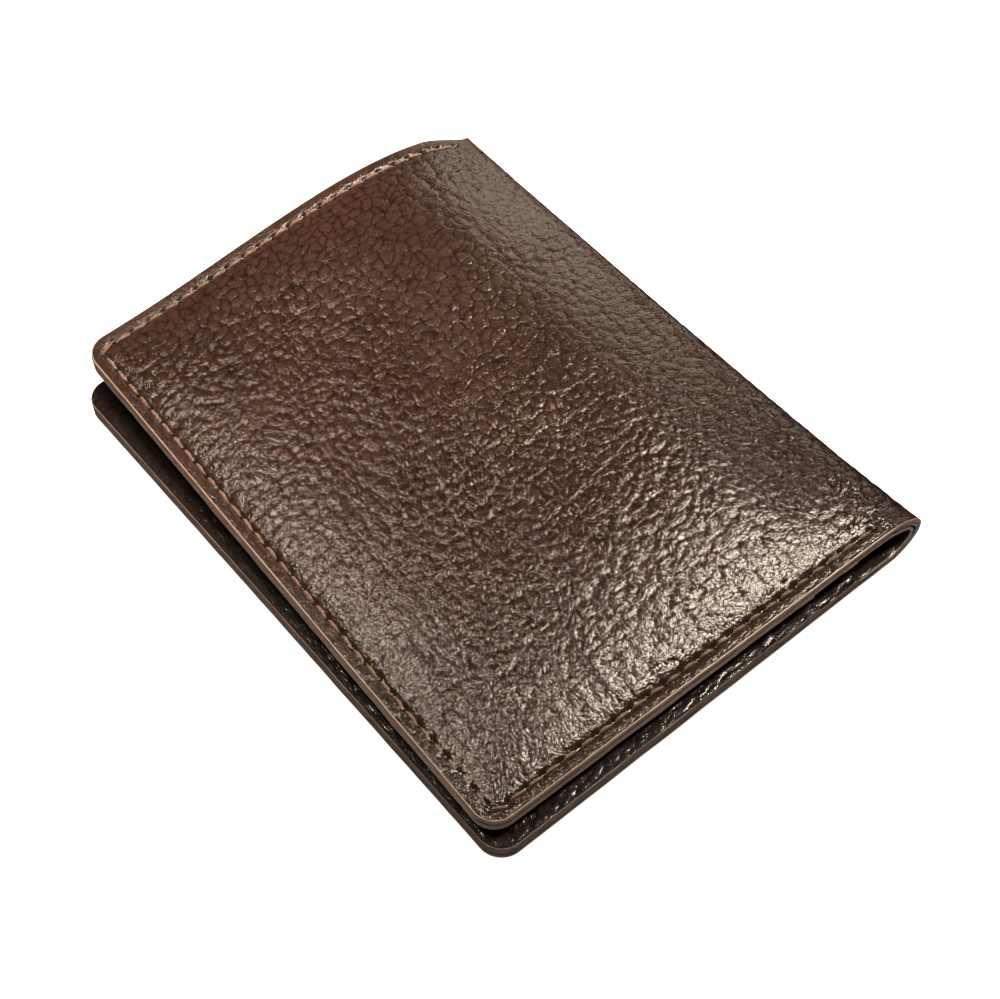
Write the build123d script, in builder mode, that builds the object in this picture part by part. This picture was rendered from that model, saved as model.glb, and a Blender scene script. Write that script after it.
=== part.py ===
"""Leather pocket wallet, closed: two padded covers joined by a soft fold, card pockets inside each cover,
a bill compartment behind the pockets and a centre flap with an ID window that turns like a page.

The closed wallet lies on its back cover. X runs from the free edges (-X) to the fold (+X), Y runs along
the fold, Z is up. The origin is under the middle of the closed wallet, on the surface it lies on.
"""

from build123d import *
from math import cos, radians, sin
import os

os.makedirs("parts", exist_ok=True)

# Closed size
closed_width = 85.0
closed_length = 108.0
fold_height = 9.6

# Sheets of a cover, from the outside inwards, and how far the padding swells the outside
swell = 0.8
outer_leather_thickness = 1.0
lining_thickness = 0.2
lining_inset = 0.3
bill_gap = 0.1
inner_leather_thickness = 0.55
pocket_thickness = 0.4
hem_thickness = 0.2
hem_width = 2.8

# Outline of a cover
corner_radius = 4.0
smallest_radius = 0.5
edge_round = 0.3
cover_mismatch = 0.9
front_extra_mismatch = 0.2
front_setback = 2.2
front_tilt = 1.0

# Stitched margin
seam_inset = 2.3
seam_end = 3.2
stitch_pitch = 3.2
stitch_length = 2.6
thread_width = 0.5
thread_depth = 0.3
pad_inset = 3.5
pad_wall = 1.0
pad_bevel = 0.65

# Card pockets, whose mouths face the fold
first_mouth = 8.0
mouth_step = 9.0

# Fold
fold_radius = 4.0
inner_fold_setback = 1.5
fold_gap = 0.15
fold_end_inset = 0.6

# Centre flap
flap_low_x = -31.0
flap_high_x = 33.7
flap_length = 95.0
flap_corner_radius = 3.0
flap_seam_radius = 2.0
flap_bottom = 4.4
flap_pocket_mouth_x = 20.0
flap_backing_thickness = 0.45
flap_frame_thickness = 0.55
film_thickness = 0.12
film_width = 54.0
film_length = 85.0
window_width = 46.0
window_length = 76.0
window_radius = 3.0
strip_low_x = 31.0
strip_high_x = 36.8
strip_thickness = 0.45
strip_radius = 1.0
bead_x = 34.0
bead_width = 0.9
bead_height = 0.35
bead_round = 0.245
bead_end_inset = 1.0

# Levels through one cover, measured inwards from the outside of its padding
outer_inside = swell + outer_leather_thickness
lining_inside = outer_inside + lining_thickness
inner_outside = lining_inside + bill_gap
inner_inside = inner_outside + inner_leather_thickness

fold_x = closed_width / 2 - fold_radius
fold_z = fold_height / 2
back_reach = fold_x + closed_width / 2
half_length = closed_length / 2

# Each cover is drawn on its own plane: x from the fold to the free edge, z from the outside inwards.
back_plane = Plane(origin=(fold_x, 0, 0), x_dir=(-1, 0, 0), z_dir=(0, 0, 1))
front_inward = Vector(-sin(radians(front_tilt)), 0, -cos(radians(front_tilt)))
front_edge = Vector(fold_x, 0, fold_height - swell)
front_plane = Plane(
    origin=front_edge - front_inward * swell,
    x_dir=(-cos(radians(front_tilt)), 0, sin(radians(front_tilt))),
    z_dir=front_inward,
)
covers = {
    "back": {
        "plane": back_plane,
        "reach": back_reach,
        "low_y": cover_mismatch - half_length,
        "high_y": half_length,
        "pockets": 3,
    },
    "front": {
        "plane": front_plane,
        "reach": back_reach - front_setback,
        "low_y": cover_mismatch + front_extra_mismatch - half_length,
        "high_y": half_length,
        "pockets": 2,
    },
}


def cover_outline(cover, start, inset=0.0):
    """Rectangle from the fold side to the free edge, rounded at the two free corners."""
    width = cover["reach"] - inset - start
    length = cover["high_y"] - cover["low_y"] - 2 * inset
    with Locations((start + width / 2, (cover["high_y"] + cover["low_y"]) / 2)):
        outline = Rectangle(width, length)
    free_corners = outline.vertices().group_by(Axis.X)[-1]
    fillet(free_corners, max(corner_radius - inset, smallest_radius))


def pad_outline(cover, inset):
    """Rectangle inside the stitched margin, rounded at all four corners."""
    width = cover["reach"] - 2 * inset
    length = cover["high_y"] - cover["low_y"] - 2 * inset
    with Locations((inset + width / 2, (cover["high_y"] + cover["low_y"]) / 2)):
        RectangleRounded(width, length, corner_radius)


def stitch_places(seam):
    """Even places along a seam, each turned to follow it."""
    count = round(seam.length / stitch_pitch)
    places = []
    for number in range(count):
        share = (number + 0.5) / count
        point = seam.position_at(share)
        angle = seam.tangent_angle_at(share)
        places.append(Location((point.X, point.Y, 0), (0, 0, angle)))
    return places


def stitch_outlines(seam):
    """One short slot for each visible stitch of a seam."""
    with Locations(*stitch_places(seam)):
        SlotOverall(stitch_length, thread_width)


for side, cover in covers.items():
    inward = Axis(cover["plane"].origin, cover["plane"].z_dir)
    away = Axis(cover["plane"].origin, cover["plane"].x_dir)
    low_seam = cover["low_y"] + seam_inset
    high_seam = cover["high_y"] - seam_inset
    free_seam = cover["reach"] - seam_inset

    # The seam runs round the three free sides and stops before the fold.
    with BuildLine() as cover_seam:
        FilletPolyline(
            (seam_end, low_seam),
            (free_seam, low_seam),
            (free_seam, high_seam),
            (seam_end, high_seam),
            radius=corner_radius - seam_inset,
        )

    # Foam padding behind the outer leather
    with BuildPart() as padding:
        with BuildSketch(cover["plane"].offset(outer_inside)):
            pad_outline(cover, pad_inset + pad_wall)
        extrude(amount=-swell)
        chamfer(padding.faces().sort_by(inward)[0].edges(), pad_bevel)
    padding.part.label = f"padding_{side}"
    export_step(padding.part, f"parts/padding_{side}.step")

    # Outer leather: a flat stitched margin round a swollen middle, hollow behind for the padding
    with BuildPart() as outer_leather:
        with BuildSketch(cover["plane"].offset(swell)):
            cover_outline(cover, fold_gap)
        extrude(amount=outer_leather_thickness)
        outside_face = outer_leather.faces().sort_by(inward)[0]
        fillet(outside_face.edges().sort_by(away)[1:], edge_round)
        with BuildSketch(cover["plane"].offset(swell)):
            pad_outline(cover, pad_inset)
        extrude(amount=-swell)
        chamfer(outer_leather.faces().sort_by(inward)[0].edges(), pad_bevel)
        add(padding.part, mode=Mode.SUBTRACT)
        with BuildSketch(cover["plane"].offset(swell)):
            stitch_outlines(cover_seam.wire())
        extrude(amount=thread_depth, mode=Mode.SUBTRACT)
    outer_leather.part.label = f"outer_leather_{side}"
    export_step(outer_leather.part, f"parts/outer_leather_{side}.step")

    # Threads of the seam, sunk in the margin
    with BuildPart() as stitching:
        with BuildSketch(cover["plane"].offset(swell)):
            stitch_outlines(cover_seam.wire())
        extrude(amount=thread_depth)
    stitching.part.label = f"stitching_{side}"
    export_step(stitching.part, f"parts/stitching_{side}.step")

    # Woven lining of the bill compartment
    with BuildPart() as bill_lining:
        with BuildSketch(cover["plane"].offset(outer_inside)):
            cover_outline(cover, fold_gap, lining_inset)
        extrude(amount=lining_thickness)
    bill_lining.part.label = f"bill_lining_{side}"
    export_step(bill_lining.part, f"parts/bill_lining_{side}.step")

    # Inner leather, the wall between the bill compartment and the cards
    with BuildPart() as inner_leather:
        with BuildSketch(cover["plane"].offset(inner_outside)):
            cover_outline(cover, inner_fold_setback + fold_gap)
        extrude(amount=inner_leather_thickness)
    inner_leather.part.label = f"inner_leather_{side}"
    export_step(inner_leather.part, f"parts/inner_leather_{side}.step")

    # Card pockets, each a sheet with a turned hem along its mouth
    for number in range(cover["pockets"]):
        mouth = first_mouth + number * mouth_step
        level = inner_inside + number * pocket_thickness
        with BuildPart() as card_pocket:
            with BuildSketch(cover["plane"].offset(level)):
                cover_outline(cover, mouth)
            extrude(amount=pocket_thickness)
            with BuildSketch(cover["plane"].offset(level + pocket_thickness)):
                middle_y = (cover["low_y"] + cover["high_y"]) / 2
                with Locations((mouth + hem_width / 2, middle_y)):
                    Rectangle(hem_width, cover["high_y"] - cover["low_y"])
            extrude(amount=hem_thickness)
        card_pocket.part.label = f"card_pocket_{side}_{number + 1}"
        export_step(card_pocket.part, f"parts/card_pocket_{side}_{number + 1}.step")


def fold_outline(centre_x, outer_radius, thickness):
    """Half ring that opens towards the free edges."""
    with Locations((centre_x, fold_z)):
        Circle(outer_radius)
        Circle(outer_radius - thickness, mode=Mode.SUBTRACT)
    with Locations((centre_x - outer_radius, fold_z)):
        Rectangle(2 * outer_radius, 2 * outer_radius + thickness, mode=Mode.SUBTRACT)


fold_length = closed_length - 2 * fold_end_inset
lining_fold_radius = fold_radius - outer_leather_thickness
inner_fold_radius = fold_z - inner_outside

# Outer leather where it wraps round the fold
with BuildPart() as outer_leather_spine:
    with BuildSketch(Plane.XZ):
        fold_outline(fold_x, fold_radius, outer_leather_thickness)
    extrude(amount=fold_length / 2, both=True)
    end_edges = outer_leather_spine.edges().filter_by(GeomType.CIRCLE)
    fillet(end_edges.filter_by(lambda edge: edge.radius > lining_fold_radius + edge_round), edge_round)
outer_leather_spine.part.label = "outer_leather_spine"
export_step(outer_leather_spine.part, "parts/outer_leather_spine.step")

# Lining behind it
with BuildPart() as bill_lining_spine:
    with BuildSketch(Plane.XZ):
        fold_outline(fold_x, lining_fold_radius, lining_thickness)
    extrude(amount=fold_length / 2, both=True)
bill_lining_spine.part.label = "bill_lining_spine"
export_step(bill_lining_spine.part, "parts/bill_lining_spine.step")

# Inner leather, which loops back before it reaches the outer fold
with BuildPart() as inner_leather_spine:
    with BuildSketch(Plane.XZ):
        fold_outline(fold_x - inner_fold_setback, inner_fold_radius, inner_leather_thickness)
    extrude(amount=fold_length / 2, both=True)
inner_leather_spine.part.label = "inner_leather_spine"
export_step(inner_leather_spine.part, "parts/inner_leather_spine.step")

# Leather strip sewn inside the back cover, next to the fold, that carries the centre flap
strip_width = strip_high_x - strip_low_x
with BuildPart() as flap_hinge_strip:
    with BuildSketch(Plane.XY.offset(inner_inside)):
        with Locations((strip_low_x + strip_width / 2, 0)):
            RectangleRounded(strip_width, flap_length, strip_radius)
    extrude(amount=strip_thickness)
    with BuildSketch(Plane.XY.offset(inner_inside + strip_thickness)):
        with Locations((bead_x, 0)):
            Rectangle(bead_width, flap_length - 2 * bead_end_inset)
    extrude(amount=bead_height)
    bead_top = flap_hinge_strip.faces().sort_by(Axis.Z)[-1]
    fillet(bead_top.edges().filter_by(Axis.Y), bead_round)
flap_hinge_strip.part.label = "flap_hinge_strip"
export_step(flap_hinge_strip.part, "parts/flap_hinge_strip.step")

flap_width = flap_high_x - flap_low_x
flap_middle_x = (flap_high_x + flap_low_x) / 2
backing_bottom = flap_bottom + pocket_thickness
backing_top = backing_bottom + flap_backing_thickness
frame_top = backing_top + flap_frame_thickness


def flap_outline(high_x):
    """Rounded leaf from the flap's free edge to high_x."""
    width = high_x - flap_low_x
    with Locations((flap_low_x + width / 2, 0)):
        outline = Rectangle(width, flap_length)
    fillet(outline.vertices().group_by(Axis.X)[0], flap_corner_radius)


# Card pocket on the side of the flap that faces the back cover
with BuildPart() as flap_card_pocket:
    with BuildSketch(Plane.XY.offset(flap_bottom)):
        flap_outline(flap_pocket_mouth_x)
    extrude(amount=pocket_thickness)
flap_card_pocket.part.label = "flap_card_pocket"
export_step(flap_card_pocket.part, "parts/flap_card_pocket.step")

# Leaf of the flap
with BuildPart() as flap_backing:
    with BuildSketch(Plane.XY.offset(backing_bottom)):
        flap_outline(flap_high_x)
    extrude(amount=flap_backing_thickness)
flap_backing.part.label = "flap_backing"
export_step(flap_backing.part, "parts/flap_backing.step")

# Clear film of the ID window
with BuildPart() as flap_window_film:
    with BuildSketch(Plane.XY.offset(backing_top)):
        with Locations((flap_middle_x, 0)):
            RectangleRounded(film_width, film_length, window_radius)
    extrude(amount=film_thickness)
flap_window_film.part.label = "flap_window_film"
export_step(flap_window_film.part, "parts/flap_window_film.step")

# The flap's seam keeps the same inset as the covers' on all four sides.
with BuildLine() as flap_seam:
    FilletPolyline(
        (flap_high_x - seam_inset, seam_inset - flap_length / 2),
        (flap_low_x + seam_inset, seam_inset - flap_length / 2),
        (flap_low_x + seam_inset, flap_length / 2 - seam_inset),
        (flap_high_x - seam_inset, flap_length / 2 - seam_inset),
        radius=flap_seam_radius,
    )

# Leather frame round the window, recessed underneath for the film
with BuildPart() as flap_window_frame:
    with BuildSketch(Plane.XY.offset(backing_top)):
        flap_outline(flap_high_x)
    extrude(amount=flap_frame_thickness)
    with BuildSketch(Plane.XY.offset(backing_top)):
        with Locations((flap_middle_x, 0)):
            RectangleRounded(film_width, film_length, window_radius)
    extrude(amount=film_thickness, mode=Mode.SUBTRACT)
    with BuildSketch(Plane.XY.offset(backing_top)):
        with Locations((flap_middle_x, 0)):
            RectangleRounded(window_width, window_length, window_radius)
    extrude(amount=flap_frame_thickness, mode=Mode.SUBTRACT)
    with BuildSketch(Plane.XY.offset(frame_top)):
        stitch_outlines(flap_seam.wire())
    extrude(amount=-thread_depth, mode=Mode.SUBTRACT)
flap_window_frame.part.label = "flap_window_frame"
export_step(flap_window_frame.part, "parts/flap_window_frame.step")

# Threads of the flap's seam
with BuildPart() as flap_stitching:
    with BuildSketch(Plane.XY.offset(frame_top)):
        stitch_outlines(flap_seam.wire())
    extrude(amount=-thread_depth)
flap_stitching.part.label = "flap_stitching"
export_step(flap_stitching.part, "parts/flap_stitching.step")
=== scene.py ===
import math

import bpy
import numpy as np
from mathutils import Matrix, Vector


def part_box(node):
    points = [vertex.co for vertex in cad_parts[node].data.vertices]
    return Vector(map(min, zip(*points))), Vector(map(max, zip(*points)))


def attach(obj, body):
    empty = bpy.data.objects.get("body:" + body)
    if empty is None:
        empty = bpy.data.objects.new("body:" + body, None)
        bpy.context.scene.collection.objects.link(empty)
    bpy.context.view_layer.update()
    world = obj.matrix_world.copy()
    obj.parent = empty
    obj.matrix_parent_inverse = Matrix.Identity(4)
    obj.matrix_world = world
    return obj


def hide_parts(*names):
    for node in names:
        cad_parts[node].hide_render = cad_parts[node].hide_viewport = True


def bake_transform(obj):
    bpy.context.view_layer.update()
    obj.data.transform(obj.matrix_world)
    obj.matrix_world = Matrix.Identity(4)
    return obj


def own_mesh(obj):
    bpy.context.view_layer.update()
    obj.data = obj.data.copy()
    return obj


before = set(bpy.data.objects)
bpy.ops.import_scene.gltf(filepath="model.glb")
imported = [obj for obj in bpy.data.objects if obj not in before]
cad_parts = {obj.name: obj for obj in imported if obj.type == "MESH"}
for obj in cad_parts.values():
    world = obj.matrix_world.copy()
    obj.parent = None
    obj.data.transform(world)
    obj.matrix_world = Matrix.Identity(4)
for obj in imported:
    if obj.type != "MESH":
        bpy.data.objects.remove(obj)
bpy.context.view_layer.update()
print("frame loaded:", len(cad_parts), "nodes")

mm = 0.001


def boxMm(node):
    # corners of a node's box in millimetres
    low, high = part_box(node)
    return np.array(low) / mm, np.array(high) / mm


# The fold and both covers, read off the frame in millimetres
spineLow, spineHigh = boxMm("outer_leather_spine")
backLow, backHigh = boxMm("outer_leather_back")
frontLow, frontHigh = boxMm("outer_leather_front")
foldX = spineLow[0]
foldRadius = spineHigh[0] - foldX
marginZ = spineLow[2]
foldTop = spineHigh[2]
backSide = dict(reach=foldX - backLow[0], near=backLow[1], far=backHigh[1])
frontSide = dict(reach=foldX - frontLow[0], near=frontLow[1], far=frontHigh[1])

# How the soft front cover lies, against the flat plane of the frame
lie = dict(
    nearDrop=0.7,           # free corner at the near side hangs lower than the fold
    farFold=11.2,           # outer surface over the fold at the far side
    farFree=12.0,           # and at the free edge there
    mouthBow=4.6,           # arch of the open bill mouth at the far side
    mouthRise=0.02,         # how soon the arch rises from the fold: less is sooner
    mouthFall=2.2,          # how fast the arch falls towards the free edge
    mouthTop=0.128,         # top of the arch before it is scaled to 1
    mouthReach=1.35,        # how fast the arch dies towards the near side
    nearSwing=(1.6, 1.3),   # near free corner swings out and inwards along the fold
    farSwing=(0.6, -0.8),   # far free corner swings out along the fold
    puff=2.3,               # height of the padding inside the seam
    puffRun=7.5,            # distance over which it rises
    backRun=5.0,            # the same on the back cover
    innerPuff=0.85,         # what of it shows on the inner side, and over what distance
    innerRun=3.0,
    seamInset=2.3,          # the stitching, and the groove that it pulls
    seamDip=0.1,
    foldSwing=(1.8, 4.4),   # how far the fold stands out at the near end, and how much less at the far end
    foldCurve=0.7,          # how that changes along it: less is sooner
    innerSwing=1.1,         # the inner ply of the fold stands out this much more
    fall=0.3,               # drop of the front cover before the fold, and its length
    fallRun=6.0,
    ripple=0.12,            # lazy unevenness of the outer leather, and its wavelength
    rippleWave=38,
    tuck=2.0,               # draw of the fold's far end towards the near side, and its length along the cover
    tuckRun=9,
    tuckIn=2.6,             # and towards the covers
    tuckFrom=0.92,          # share of the fold's length where the draw starts
    leastBend=1.3,          # the fold's outer face stays this far out, so that its plies keep their thickness
)
plies = dict(leather=1.0, lining=0.2, innerTop=1.3, inner=0.55, pocket=0.4, hem=0.2)
innerSetback = foldX - boxMm("inner_leather_back")[1][0]
cut = dict(cornerRadius=4.0, firstMouth=8.0, mouthStep=9.0, hemWidth=2.8)


def smooth(low, high, value):
    # 0 below low, 1 above high, and a cubic between
    t = np.clip((value - low) / (high - low), 0, 1)
    return t * t * (3 - 2 * t)


def ripple(a, y, wave, seed):
    # a few crossed sine waves of about one wavelength, between -1 and 1
    draw = np.random.default_rng(seed)
    total = np.zeros(np.broadcast(a, y).shape)
    for angle, phase, stretch in draw.uniform((0, 0, 0.7), (math.pi, 2 * math.pi, 1.4), (5, 3)):
        along = a * math.cos(angle) + y * math.sin(angle)
        total += np.sin(along * 2 * math.pi / (wave * stretch) + phase)
    return total / 5


def hashed(i, j, seed):
    # an even number from 0 to 1 for each whole i, j
    value = np.sin(i * 127.1 + j * 311.7 + seed * 74.7) * 43758.5453
    return value - np.floor(value)


def pebbles(a, y, size, seed):
    # jittered cells: how far a point is from its cell's middle and border, and a number for the cell
    u, v = a / size, y / size
    i, j = np.floor(u), np.floor(v)
    gaps, tags = [], []
    for di in (-1, 0, 1):
        for dj in (-1, 0, 1):
            ci, cj = i + di, j + dj
            x = ci + 0.5 + 0.85 * (hashed(ci, cj, seed) - 0.5)
            z = cj + 0.5 + 0.85 * (hashed(ci, cj, seed + 9) - 0.5)
            gaps.append(np.hypot(x - u, z - v))
            tags.append(hashed(ci, cj, seed + 21))
    gaps, tags = np.stack(gaps), np.stack(tags)
    order = np.argsort(gaps, axis=0)
    first = np.take_along_axis(gaps, order[:1], 0)[0]
    second = np.take_along_axis(gaps, order[1:2], 0)[0]
    return first, second - first, np.take_along_axis(tags, order[:1], 0)[0]


# Grain of the two leathers: size of a pebble, its height and that of the finer grain, in millimetres
outerGrain = dict(size=1.8, depth=0.17, fine=0.8, fineDepth=0.025, seed=3)
innerGrain = dict(size=1.3, depth=0.10, fine=0.6, fineDepth=0.03, seed=17)


def grain(a, y, kind):
    # height of the grain at a point of the unrolled leather, and how deep in a crease it is, which also sets
    # the painted shade of the creases
    size = kind["size"]
    seed = kind["seed"]
    u = a + 0.5 * size * ripple(a, y, 7 * size, seed) + 0.3 * size * ripple(a, y, 2.2 * size, seed + 1)
    v = y + 0.5 * size * ripple(a, y, 6 * size, seed + 2) + 0.3 * size * ripple(a, y, 2.0 * size, seed + 3)
    middle, gap, tag = pebbles(u * 0.86, v * 1.12, size, seed)      # pebbles a little longer across the cover
    fineMiddle, _, fineTag = pebbles(u, v, kind["fine"], seed + 5)
    patch = 0.8 + 0.35 * ripple(a, y, 26, seed + 4)
    creaseAndShade = np.exp(-(gap / 0.16) ** 2)
    height = kind["depth"] * patch * (1 - 1.5 * middle ** 2 + 0.15 * tag - 0.5 * creaseAndShade - 0.6)
    height += kind["fineDepth"] * (0.6 - 1.5 * fineMiddle ** 2 + 0.5 * fineTag)
    return height, np.clip(creaseAndShade * (0.6 + 0.5 * patch), 0, 1)


def seamRoom(a, y, side, inset):
    # distance inside a line that runs at inset from the three free edges
    return np.minimum(np.minimum(y - side["near"], side["far"] - y), side["reach"] - a) - inset


def swellOf(a, y, side, run):
    # padding that starts at the seam on three sides and at the fold
    def rise(distance):
        # from 0 at the seam towards 1, fast at first
        return 1 - np.exp(-np.clip(distance - lie["seamInset"] - 0.5, 0, None) / run)

    return rise(y - side["near"]) * rise(side["far"] - y) * rise(side["reach"] - a) * smooth(0, 20, a)


def mouthCurve(s):
    # arch of the bill mouth along the far edge, from the fold (0) to the free edge (1)
    s = np.clip(s, 0, 1)
    return s * s / (s + lie["mouthRise"]) * (1 - s) ** lie["mouthFall"] / lie["mouthTop"]


def fallToFold(u):
    # the front cover slopes down over its last millimetres before the fold, and on round it
    return lie["fall"] * (np.clip(lie["fallRun"] - u, 0, None) / lie["fallRun"]) ** 2


def frontHeight(a, y, bowed):
    # outer face of the front cover: near and far edges blended across, bowed only in the outer ply
    s = np.clip(a / frontSide["reach"], -0.05, 1.03)
    t = np.clip((y - frontSide["near"]) / (frontSide["far"] - frontSide["near"]), 0, 1.02)
    near = foldTop - lie["nearDrop"] * s ** 2
    if bowed:
        far = lie["farFold"] + (lie["farFree"] - lie["farFold"]) * s + lie["mouthBow"] * mouthCurve(s)
    else:
        far = foldTop + (lie["farFree"] - foldTop) * s
    mix = t ** lie["mouthReach"]
    lazy = lie["ripple"] * ripple(a, y, lie["rippleWave"], 2) if bowed else 0
    return near * (1 - mix) + far * mix + lazy - fallToFold(np.clip(a, 0, None))


def tucked(a, y):
    # far end of the fold is drawn in a little, over both covers' first millimetres
    t = (y - frontSide["near"]) / (frontSide["far"] - frontSide["near"])
    return lie["tuck"] * smooth(lie["tuckFrom"], 1.01, t) ** 2 * (1 - smooth(0, lie["tuckRun"], a))


def frontPlan(a, y):
    # place in plan of a point of the front cover, whose free corners swing a little
    s = np.clip(a / frontSide["reach"], 0, None)
    t = (y - frontSide["near"]) / (frontSide["far"] - frontSide["near"])
    x = foldX - a - lie["nearSwing"][0] * s * (1 - t) + lie["farSwing"][0] * s * t
    v = y + lie["nearSwing"][1] * s * (1 - t) - lie["farSwing"][1] * s * t - tucked(a, y)
    return x, v


def seamGroove(a, y, side):
    # shallow channel along the stitching, which fades before the fold
    return lie["seamDip"] * np.exp(-(seamRoom(a, y, side, lie["seamInset"]) / 0.8) ** 2) * smooth(1, 5, a)


# The place functions take a, the distance from the fold, y along it, and the depth below the good face


def placeFrontOuter(a, y, depth):
    # bowed front height, with the swell of the padding and without the groove of the seam
    x, v = frontPlan(a, y)
    swell = lie["puff"] * swellOf(a, y, frontSide, lie["puffRun"])
    z = frontHeight(a, y, True) + swell - seamGroove(a, y, frontSide) - depth
    return np.stack([x, v, z], -1)


def placeFrontLining(a, y, depth):
    # bowed front height alone, below the padding
    x, v = frontPlan(a, y)
    z = frontHeight(a, y, True) - depth
    return np.stack([x, v, z], -1)


def placeFrontInner(a, y, depth):
    # plane behind the bill mouth, with a share of the swell
    x, v = frontPlan(a, y)
    z = frontHeight(a, y, False) + lie["innerPuff"] * swellOf(a, y, frontSide, lie["innerRun"]) - depth
    return np.stack([x, v, z], -1)


def placeBackOuter(a, y, depth):
    # level margin that swells down to the table, turned over: depth runs upwards
    z = marginZ - marginZ * swellOf(a, y, backSide, lie["backRun"]) + seamGroove(a, y, backSide) + depth
    return np.stack([foldX - a, y + 0 * a, z], -1)


def placeBackInner(a, y, depth):
    # level plane of the back cover
    return np.stack([foldX - a, y + 0 * a, marginZ + depth + 0 * a], -1)


def foldSection(a, y, depth, outer):
    # half ring round the fold: a runs from 0 at the front cover down to -1 at the back cover
    turn = math.pi / 2 + np.clip(a, -1, 0) * math.pi
    share = (y - frontSide["near"]) / (frontSide["far"] - frontSide["near"])
    t = np.clip(share, 0, 1)
    near = frontSide["near"] + (backSide["near"] - frontSide["near"]) * np.clip(-a, 0, 1)
    far = frontSide["far"] + (backSide["far"] - frontSide["far"]) * np.clip(-a, 0, 1)
    v = near + (far - near) * share - tucked(0 * a, y) * (1 + np.clip(a, -1, 0))
    top = frontHeight(0 * a, y, outer) + fallToFold(0)
    middle, half = (top + marginZ) / 2, (top - marginZ) / 2
    bend = foldRadius + lie["foldSwing"][0] - lie["foldSwing"][1] * t ** lie["foldCurve"]
    bend = np.maximum(bend - lie["tuckIn"] * smooth(lie["tuckFrom"], 1.02, t) ** 2, lie["leastBend"])
    bend = bend + (0 if outer else lie["innerSwing"])
    x = foldX - (0 if outer else innerSetback) + (bend - depth) * np.cos(turn)
    z = middle + (half - depth) * np.sin(turn) - fallToFold(foldX - x) * np.clip(np.sin(turn), 0, 1) ** 2
    return np.stack([x, v, z], -1)


def meshOf(name, vertices, faces, attributes=None, uv=None, flat=0):
    # a smooth mesh object from points in millimetres, whose first faces may stay flat
    mesh = bpy.data.meshes.new(name)
    mesh.from_pydata((vertices * mm).tolist(), [], faces)
    for key, values in (attributes or {}).items():
        mesh.attributes.new(key, "FLOAT", "POINT").data.foreach_set("value", values.astype(np.float32))
    if uv is not None:
        corner = np.zeros(len(mesh.loops), np.int32)
        mesh.loops.foreach_get("vertex_index", corner)
        layer = mesh.uv_layers.new(name="unrolled")
        layer.data.foreach_set("uv", (uv[corner] * mm).astype(np.float32).ravel())
    mesh.polygons.foreach_set("use_smooth", np.arange(len(mesh.polygons)) >= flat)
    mesh.update()
    piece = bpy.data.objects.new(name, mesh)
    bpy.context.scene.collection.objects.link(piece)
    return piece


def coverOutline(side, start, radius, edge, nA, nArc, nY):
    # grid over a cover, inset by edge: rows follow the rounded free corners and columns run
    # from start to the free edge
    arc = (np.arange(nArc) / nArc) * math.pi / 2
    r = max(radius - edge, 0.01)
    low, high, reach = side["near"] + edge, side["far"] - edge, side["reach"] - edge
    middle = np.linspace(low + r, high - r, nY + 1)
    rows = np.concatenate([low + r * (1 - np.cos(arc)), middle, (high - r * (1 - np.cos(arc)))[::-1]])
    corner = reach - r + r * np.sin(arc)
    ends = np.concatenate([corner, np.full(nY + 1, reach), corner[::-1]])
    share = np.linspace(0, 1, nA + 1)
    a = start + share[None, :] * (ends[:, None] - start)
    y = np.repeat(rows[:, None], nA + 1, 1)
    return a, y


def loopOf(rows, columns):
    # row and column of each point round the border of a grid, anticlockwise with a to the right and y up
    across, along = columns - 1, rows - 1
    j = np.concatenate([np.zeros(across), np.arange(along), np.full(across, along), np.arange(along, 0, -1)])
    i = np.concatenate([np.arange(across), np.full(along, across), np.arange(across, 0, -1), np.zeros(along)])
    return j.astype(int), i.astype(int)


rimCut = dict(steps=6, lip=0.05)       # rows of points round a cut edge, and the paint that stands proud of it


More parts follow.
